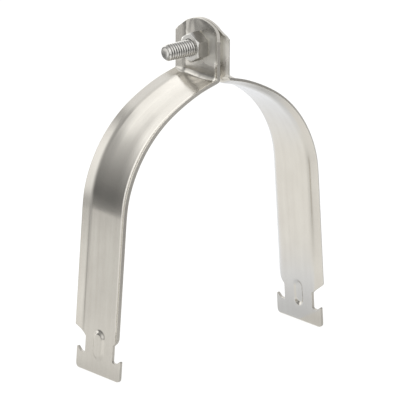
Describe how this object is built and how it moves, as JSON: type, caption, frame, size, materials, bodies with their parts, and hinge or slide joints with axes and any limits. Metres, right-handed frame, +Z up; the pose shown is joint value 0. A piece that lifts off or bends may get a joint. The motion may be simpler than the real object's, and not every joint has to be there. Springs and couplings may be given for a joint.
{
  "type": "strut pipe clamp",
  "caption": "Stainless strut pipe clamp: mirrored sheet straps with hooked legs, folded edges and arched ears drawn together over a pipe by a bolt and nut.",
  "frame": {"origin": "middle of the pipe that the clamp holds, halfway along the strap's width", "axes": "+X along the bolt from the nut side to the head side, +Y along the pipe, +Z up from the hooked feet to the ears"},
  "size_m": [0.1306, 0.0322, 0.1635],
  "materials": {
    "strap_steel": "satin rolled stainless sheet",
    "fastener_steel": "bright machined stainless"
  },
  "bodies": {
    "nut_side": {"nut_side_strap": "strap_steel"},
    "bolt": {"bolt": "fastener_steel"},
    "head_side": {"head_side_strap": "strap_steel"},
    "nut": {"nut": "fastener_steel"}
  },
  "joints": [
    {"name": "nut_spin", "type": "hinge", "parent": "nut_side", "child": "nut", "pos_m": [-0.005, 0, 0.0769], "axis": [1, 0, 0], "range_deg": [-3317, 0]},
    {"name": "bolt_draw", "type": "slide", "parent": "nut_side", "child": "bolt", "axis": [1, 0, 0], "range_m": [0, 0.013]},
    {"name": "strap_swing", "type": "hinge", "parent": "bolt", "child": "head_side", "pos_m": [0.001, 0, 0.0769], "axis": [1, 0, 0], "continuous": true}
  ],
  "couplings": [
    {"joint": "nut_spin", "follows": "bolt_draw", "rad_per_m": -4452.7}
  ]
}
